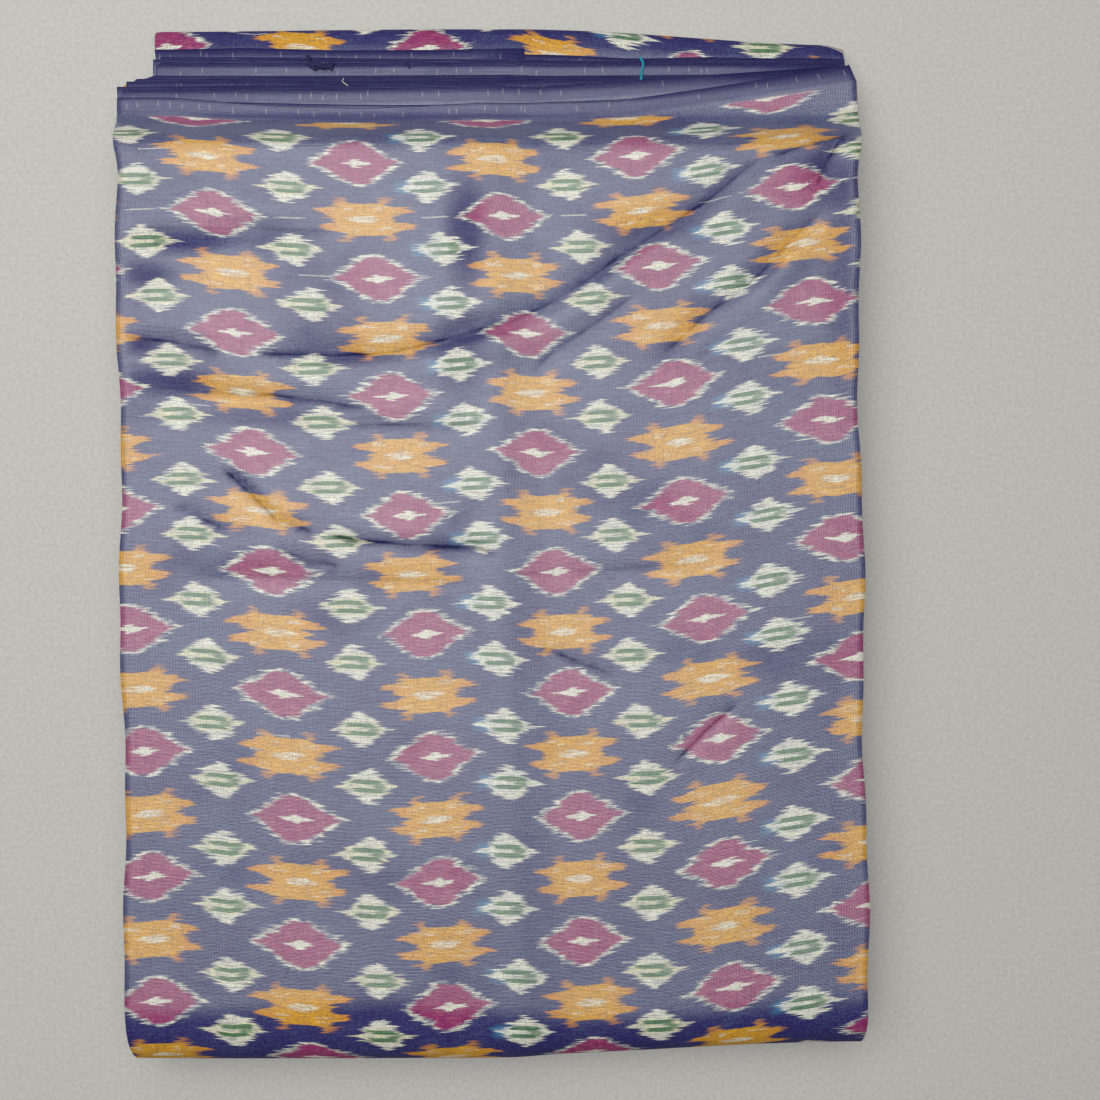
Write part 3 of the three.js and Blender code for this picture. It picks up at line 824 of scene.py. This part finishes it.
def ikat():
    finish = Finish("ikat_cotton")
    flat = finish.value("ShaderNodeAttribute", {"attribute_name": "cloth"}, {}, 1)
    parts = finish.node("ShaderNodeSeparateXYZ", {}, {"Vector": flat})
    along, across, edge = (Value(finish, parts.outputs[name]) for name in "XYZ")
    nearby = finish.value("ShaderNodeAttribute", {"attribute_name": "crease_line"}, {}, 1)
    nearby = finish.node("ShaderNodeSeparateXYZ", {}, {"Vector": nearby})
    beside, away, sharpness = (Value(finish, nearby.outputs[name]) for name in "XYZ")
    # The pressed attribute carries painted sheen on flat cloth and painted shade on slopes, rolls and beside
    # creases; it also sets the gloss
    pressed = finish.value("ShaderNodeAttribute", {"attribute_name": "pressed"}, {}, 2)

    row_place = (across - BORDER) / ROW_PITCH
    row = row_place.rounded()
    border_row = row < 0.5
    off_row = (across - BORDER - row * ROW_PITCH) * (1.0 + 0.55 * border_row)
    group_number = (across / GROUP_PITCH).floored()
    yarn = (across / YARN_PITCH).floored()

    skewed = along - across * COLUMN_LEAN + COLUMN_START
    column = (skewed / COLUMN_PITCH).rounded()
    odd = (column + row) * 0.5
    is_diamond = odd.math("FRACT") > 0.25

    def slipped(place, which, salt):
        """How far the dyed lengths of each yarn slipped, in millimetres: bundles, then single yarns."""
        bundle_slip = finish.chance(salt, group_number, which) * 1.3
        yarn_slip = finish.noise(which * 5.3, across * 2.3, salt + 0.5, 2.0) * 4.2
        return place + bundle_slip + yarn_slip

    def ragged(place, which, salt):
        """Uneven ends of the dyed lengths: a little on every yarn, far on a few."""
        end = which * 3.7 + (place > 0.0) * 1.9
        fine = finish.noise(end, across * 2.9, salt, 2.0)
        coarse = finish.noise(end, across * 1.15, salt + 3.0)
        spike = (finish.noise(end, across * 1.9, salt + 6.0) - 0.13).most(0.0)
        return fine * 7.5 + coarse * 4.5 + spike * 16.0

    def inside(half_width, reach, soft=1.1):
        return ((half_width - reach) / soft + 0.5).limited()

    motif_slip = finish.chance(1.0, column, row) * 1.6
    off = slipped(skewed - column * COLUMN_PITCH + motif_slip, column + row * 0.37, 2.0)
    reach = abs(off)
    from_middle = abs(off_row) + finish.noise(off / 3.0, row * 7.7 + column * 2.3, 4.0) * 0.7
    fray = ragged(off, column, 11.0)
    streak = finish.noise(along / 5.0, across * 2.6, 21.0, 2.0)

    star = inside(finish.chart(from_middle, STAR_BODY) + fray, reach)
    notch = inside(finish.chart(from_middle, STAR_NOTCH) - fray * 0.5, reach)
    star = star * (1.0 - notch) * (1.0 - inside(1.6, abs(from_middle - 6.6), 1.2) * (0.35 + streak * 1.5))
    star_eye = inside(finish.chart(from_middle, STAR_EYE) + fray * 0.8, reach, 1.6)
    star_eye = star_eye * (0.66 + streak * 3.4)
    flecks = (finish.chance(5.0, yarn, (along / 2.6).floored()) > 0.22)
    flecks = flecks * inside(2.6, abs(reach - 5.6), 1.4) * inside(0.8, abs(from_middle - 3.0), 0.6)

    rim = inside(finish.chart(from_middle, DIAMOND_RIM) + fray, reach, 1.0)
    rim = rim * (0.6 + streak * 3.4 + finish.noise(off / 2.4, off_row * 0.9, column * 3.3 + row) * 2.2)
    body = inside(finish.chart(from_middle, DIAMOND_BODY) - fray * 0.55, reach, 1.3)
    diamond_eye = inside(finish.chart(from_middle, DIAMOND_EYE) + fray * 0.7, reach, 0.9)

    # Small leaves between the columns, in pairs above and below every other row
    leaf_skewed = skewed / COLUMN_PITCH - 0.5
    leaf_column = leaf_skewed.rounded()
    pair = ((row_place - 1.0) / 2.0).rounded() * 2.0 + 1.0
    off_pair = (row_place - pair) * ROW_PITCH
    leaf_row = (off_pair > 0.0) * 2.0 - 1.0
    leaf_off_row = off_pair - leaf_row * 7.6
    leaf_slip = finish.chance(7.0, pair + leaf_row * 0.3, leaf_column) * 2.2
    leaf_place = (leaf_skewed - leaf_column) * COLUMN_PITCH + leaf_slip
    leaf_off = slipped(leaf_place, leaf_column + pair * 0.41, 5.0)
    leaf_reach = abs(leaf_off)
    leaf_middle = abs(leaf_off_row)
    leaf_fray = ragged(leaf_off, leaf_column, 31.0)
    leaf_white = inside(finish.chart(leaf_middle, LEAF_WHITE) + leaf_fray, leaf_reach)
    leaf_green = inside(finish.chart(leaf_middle, LEAF_GREEN) + leaf_fray * 0.6, leaf_reach)
    tip_green = inside(1.7, abs(leaf_off - 3.2), 1.4) * inside(0.6, leaf_middle, 0.4)
    leaf_green = leaf_green.most(tip_green * 0.8)
    cyan = inside(2.8, abs(leaf_off + 6.2), 2.4) * inside(1.7, leaf_middle, 1.6)
    is_blue = finish.chance(8.0, leaf_column) > -0.1
    cyan = cyan * is_blue * 0.5

    # Dye that runs along the yarns, weft that shows between them, and painted sheen that pales flat cloth,
    # with painted shade where pressed is low
    long_streak = finish.noise(along / 26.0, across * 1.9, 3.0)
    cloudy = finish.noise(along / 30.0, across / 24.0, 9.0, 2.0)
    weft_line = finish.noise(along * 1.9, across / 9.0, 5.0, 2.0)
    warp_line = finish.noise(along / 7.0, across * 2.4, 6.0, 2.0)
    fleck = finish.chance(9.0, (along / WEFT_PITCH).floored(), yarn)
    weft_and_painted_sheen = 0.44 - (1.0 - pressed) * 0.38 + long_streak * 0.3 + cloudy * 1.1
    weft_and_painted_sheen = weft_and_painted_sheen + weft_line * 0.7 + warp_line * 1.3 + fleck * 0.9

    plain = 1.0 - ((across - BORDER + 0.6) / 0.8).limited()
    near_edge = 1.0 - ((edge - BORDER + 0.6) / 0.8).limited()
    motif = 1.0 - plain.most(near_edge)

    ground = finish.blend(weft_and_painted_sheen, GROUND_DEEP, GROUND_PALE)
    dash_cell = along / 9.0 + finish.chance(15.0, yarn)
    loose_dash = (finish.chance(10.0, yarn, dash_cell.floored()) > 0.4988) * 0.5
    second_row = abs(row - 2.0) < 0.5
    row_dash = inside(3.6, abs(leaf_place), 0.8) * inside(0.2, abs(off_row), 0.2) * second_row * 0.6
    ground = finish.blend(loose_dash.most(row_dash) * motif, ground, UNDYED)

    colour = finish.blend(cyan * motif, ground, CYAN)
    thin = 0.94 + streak * 0.9 + fleck * 0.1
    broken = 0.92 + streak * 2.6 + fleck * 0.15
    yellowed = (1.0 - is_blue) * (0.25 + streak * 1.6) * inside(2.2, leaf_middle, 1.0)
    leaf_yarn = finish.blend(yellowed, UNDYED, YELLOWED)
    colour = finish.blend(leaf_white * motif * broken, colour, leaf_yarn)
    green = finish.blend(0.3 + streak * 2.0, LEAF, LEAF_LIGHT)
    colour = finish.blend(leaf_green * motif * 0.9, colour, green)

    is_star = motif * (1.0 - is_diamond)
    salmon_share = 0.12 + inside(from_middle, 4.6, 1.2) * 0.5 + streak * 1.5 + (reach - 8.0) * 0.07
    star_dye = finish.blend(salmon_share, STAR_GOLD, STAR_SALMON)
    star_dye = finish.blend((streak * 2.2 - 0.1) * (1.0 - salmon_share), star_dye, STAR_PALE)
    colour = finish.blend(star * is_star * thin, colour, star_dye)
    colour = finish.blend(star_eye.most(flecks * 0.5) * is_star * 0.9, colour, UNDYED)
    is_diamond = is_diamond * motif
    colour = finish.blend(rim * is_diamond, colour, UNDYED)
    pink = finish.blend(0.3 + streak * 1.6 + weft_line * 1.2, DIAMOND_PINK, DIAMOND_DEEP)
    colour = finish.blend(body * is_diamond * thin, colour, pink)
    colour = finish.blend(diamond_eye * is_diamond * thin, colour, UNDYED)

    # Selvedge: denser warp, and weft loops that show as short pale ticks
    colour = finish.blend(near_edge * (0.6 + long_streak * 1.6 + warp_line * 0.8), colour, SELVEDGE)
    tick_cell = (along / TICK_PITCH).floored()
    tick_off = abs(along - (tick_cell + 0.5) * TICK_PITCH + finish.chance(12.0, tick_cell) * 2.6)
    tick_reach = abs(edge - 1.9 + finish.chance(17.0, tick_cell) * 1.2)
    tick = inside(0.14, tick_off, 0.28) * inside(0.75, tick_reach, 0.6)
    tick = tick * (finish.chance(13.0, tick_cell) > 0.1)
    colour = finish.blend(tick * 0.26, colour, UNDYED)

    # Fine weave, weft over the dyed yarns, and painted shade along each crease: a dark line and a shaded band
    # beside it
    warp_thread = (across * (2 * math.pi / YARN_PITCH)).math("COSINE")
    weft_thread = (along * (2 * math.pi / WEFT_PITCH)).math("COSINE")
    weave = warp_thread * 0.5 + weft_thread * 0.5
    grain = fleck * 0.62 + weft_line * 0.42 + warp_line * 0.42 + weave * 0.05
    colour = finish.blend(0.08 + grain, colour, WEFT)
    near_line = inside(2.6, away, 0.8) * sharpness
    near_line = (near_line * (0.75 + finish.noise(along / 7.0, across / 7.0, 40.0) * 2.4)).limited()
    painted_crease_line = inside(0.3, abs(beside), 0.7) * near_line
    fold_shade = inside(1.0, abs(beside + 0.5), 1.8) * near_line
    colour = finish.blend(fold_shade * 0.25 + painted_crease_line * 0.5, colour, CREASE_SHADE)

    height = weave * 0.5 + warp_line * 1.6
    bump = finish.value("ShaderNodeBump", {}, {"Strength": 0.3, "Distance": 0.0003, "Height": height})
    roughness = 0.44 + weft_line * 0.2
    gloss = {
        "Base Color": colour, "Roughness": roughness, "Normal": bump, "IOR": 1.72, "Specular IOR Level": 1.0,
        "Sheen Weight": 0.3, "Sheen Roughness": 0.45,
    }
    matt = {
        "Base Color": colour, "Roughness": 0.8, "Normal": bump, "IOR": 1.3, "Specular IOR Level": 0.3,
    }
    smooth_side = finish.node("ShaderNodeBsdfPrincipled", {}, gloss)
    matt_side = finish.node("ShaderNodeBsdfPrincipled", {}, matt)
    dull = (finish.noise(along / 34.0, across / 26.0, 50.0, 2.0) - 0.06).most(0.0) * 2.2
    off_crease = (1.0 - fold_shade * 0.6 - painted_crease_line).limited()
    glossy_share = pressed * (1.0 - dull) * (1.0 - near_edge * 0.35) * off_crease
    shader = finish.node("ShaderNodeMixShader", {}, {0: glossy_share})
    finish.tree.links.new(matt_side.outputs[0], shader.inputs[1])
    finish.tree.links.new(smooth_side.outputs[0], shader.inputs[2])
    output = finish.node("ShaderNodeOutputMaterial", {}, {})
    finish.tree.links.new(shader.outputs[0], output.inputs[0])
    return finish.material


cloth_data.materials.append(ikat())
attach(cloth, "root")
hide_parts("ikat_cloth")


def plain_finish(name, colour, roughness):
    finish = Finish(name)
    where = finish.value("ShaderNodeTexCoord", {}, {}, 3)
    mottle = finish.value("ShaderNodeTexNoise", {}, {"Vector": where, "Scale": 900.0, "Detail": 2.0})
    darker = tuple(part * 0.7 for part in colour[:3]) + (1.0,)
    shade = finish.blend(mottle, darker, colour)
    shader = finish.node("ShaderNodeBsdfPrincipled", {}, {"Base Color": shade, "Roughness": roughness})
    output = finish.node("ShaderNodeOutputMaterial", {}, {})
    finish.tree.links.new(shader.outputs[0], output.inputs[0])
    return finish.material


# Loose threads that lie on the selvedges
surface = BVHTree.FromObject(cloth, bpy.context.evaluated_depsgraph_get())


def resting_height(x, y, clearance):
    hit = surface.ray_cast(Vector((x * MM, y * MM, 0.05)), Vector((0.0, 0.0, -1.0)))[0]
    height = hit.z / MM if hit else 0.0
    return height + clearance


def thread(name, points, thickness, material, lift=0.0):
    """A yarn of round section along places in the design frame, resting on the cloth."""
    tight = np.array([(x + shift[0], y + shift[1]) for x, y in points])
    spans = np.concatenate([[0.0], np.cumsum(np.linalg.norm(np.diff(tight, axis=0), axis=1))])
    count = max(12, int(spans[-1] / 0.5))
    fine = np.linspace(0.0, spans[-1], count)
    xs, ys = np.interp(fine, spans, tight[:, 0]), np.interp(fine, spans, tight[:, 1])
    curve = bpy.data.curves.new(name, "CURVE")
    curve.dimensions = "3D"
    curve.bevel_depth = thickness / 2 * MM
    curve.bevel_resolution = 2
    curve.use_fill_caps = True
    spline = curve.splines.new("POLY")
    spline.points.add(count - 1)
    for index in range(count):
        share = index / (count - 1)
        arch = lift * math.sin(math.pi * share)
        z = resting_height(xs[index], ys[index], thickness * 0.45) + arch
        spline.points[index].co = (xs[index] * MM, ys[index] * MM, z * MM, 1.0)
    curve.materials.append(material)
    made = bpy.data.objects.new(name, curve)
    bpy.context.scene.collection.objects.link(made)
    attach(made, "root")


teal = plain_finish("teal_thread", linear(20, 150, 170), 0.6)
indigo = plain_finish("indigo_thread", linear(34, 28, 84), 0.8)
ecru = plain_finish("ecru_thread", linear(200, 190, 170), 0.7)
thread("teal_tack", [(42.6, 138.8), (43.4, 136.5), (42.9, 134.0), (42.6, 131.6), (42.4, 130.6)], 0.75, teal)
TUFT = [
    [(-53.6, 139.0), (-53.0, 137.2), (-52.6, 135.6), (-51.8, 134.6)],
    [(-52.8, 138.2), (-52.9, 136.4), (-51.6, 135.2)],
    [(-52.2, 136.6), (-51.4, 135.8), (-51.2, 134.2), (-50.2, 134.0)],
    [(-51.6, 135.4), (-50.4, 135.2), (-49.4, 134.4)],
    [(-50.8, 136.4), (-50.2, 134.8), (-49.0, 134.8)],
    [(-49.6, 135.8), (-49.0, 134.6), (-48.0, 134.2)],
    [(-48.4, 135.6), (-47.8, 134.4), (-46.8, 134.6)],
    [(-46.9, 137.4), (-46.4, 136.0), (-46.9, 134.8), (-45.8, 134.0)],
    [(-46.2, 136.6), (-45.6, 135.4), (-46.2, 134.4)],
]
for number, points in enumerate(TUFT):
    thread("indigo_tuft_%d" % number, points, 0.9, indigo, lift=0.3)
thread("indigo_end", [(-25.0, 136.8), (-24.6, 135.6), (-23.6, 134.4)], 0.5, indigo)
thread("ecru_curl", [(-42.4, 131.2), (-42.9, 130.4), (-42.2, 129.5), (-41.0, 128.6)], 0.3, ecru)

# Plain pale floor
floor_data = bpy.data.meshes.new("floor")
HALF_FLOOR = 2.0
floor_data.from_pydata(
    [(-HALF_FLOOR, -HALF_FLOOR, 0.0), (HALF_FLOOR, -HALF_FLOOR, 0.0), (HALF_FLOOR, HALF_FLOOR, 0.0),
     (-HALF_FLOOR, HALF_FLOOR, 0.0)], [], [(0, 1, 2, 3)]
)
floor = bpy.data.objects.new("floor", floor_data)
bpy.context.scene.collection.objects.link(floor)
floor_data.materials.append(plain_finish("floor_paper", linear(205, 204, 198), 0.9))

# Soft light from above
world = bpy.data.worlds.new("studio")
world.use_nodes = True
world.node_tree.nodes["Background"].inputs["Color"].default_value = (1.0, 1.0, 1.0, 1.0)
world.node_tree.nodes["Background"].inputs["Strength"].default_value = 0.12
bpy.context.scene.world = world


def area_light(name, place, size, power):
    """A square light that faces the pack."""
    data = bpy.data.lights.new(name, "AREA")
    data.shape = "SQUARE"
    data.size = size
    data.energy = power
    light = bpy.data.objects.new(name, data)
    light.location = place
    light.rotation_euler = (-Vector(place)).to_track_quat("-Z", "Y").to_euler()
    bpy.context.scene.collection.objects.link(light)


area_light("overhead", (-0.12, 0.17, 0.75), 0.95, 8.0)

bpy.context.scene.view_settings.view_transform = "Standard"
